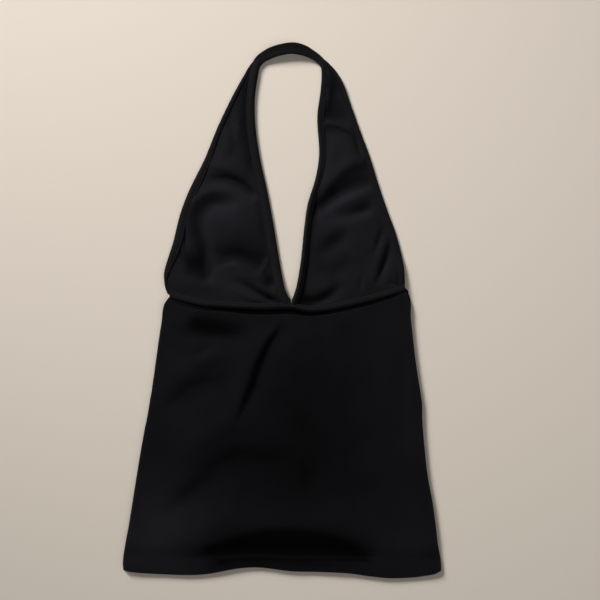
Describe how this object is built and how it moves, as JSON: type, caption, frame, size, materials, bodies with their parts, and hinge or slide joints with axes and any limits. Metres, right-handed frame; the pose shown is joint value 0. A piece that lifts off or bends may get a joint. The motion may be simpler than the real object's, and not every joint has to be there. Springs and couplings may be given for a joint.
{
  "type": "halter neck top",
  "caption": "Sleeveless jersey top laid flat, with a deep V neck whose bound edge runs on as a neck strap, an underbust seam band and a straight turned-up hem.",
  "frame": {"origin": "on the surface the top lies on, below the middle of its outline", "axes": "+Y from the hem towards the neck loop, +X to the viewer's right with the front up, +Z out of the front"},
  "size_m": [0.3343, 0.5627, 0.0079],
  "materials": {
    "jersey": "smooth matte black jersey with a faint sheen",
    "binding": "the same black jersey, folded and topstitched"
  },
  "bodies": {
    "root": {"back_panel": "jersey", "front_panel": "jersey", "bust_panel_left": "jersey", "bust_panel_right": "jersey", "underbust_band": "binding", "neck_binding": "binding", "arm_binding_left": "binding", "arm_binding_right": "binding", "back_binding": "binding"}
  },
  "joints": []
}
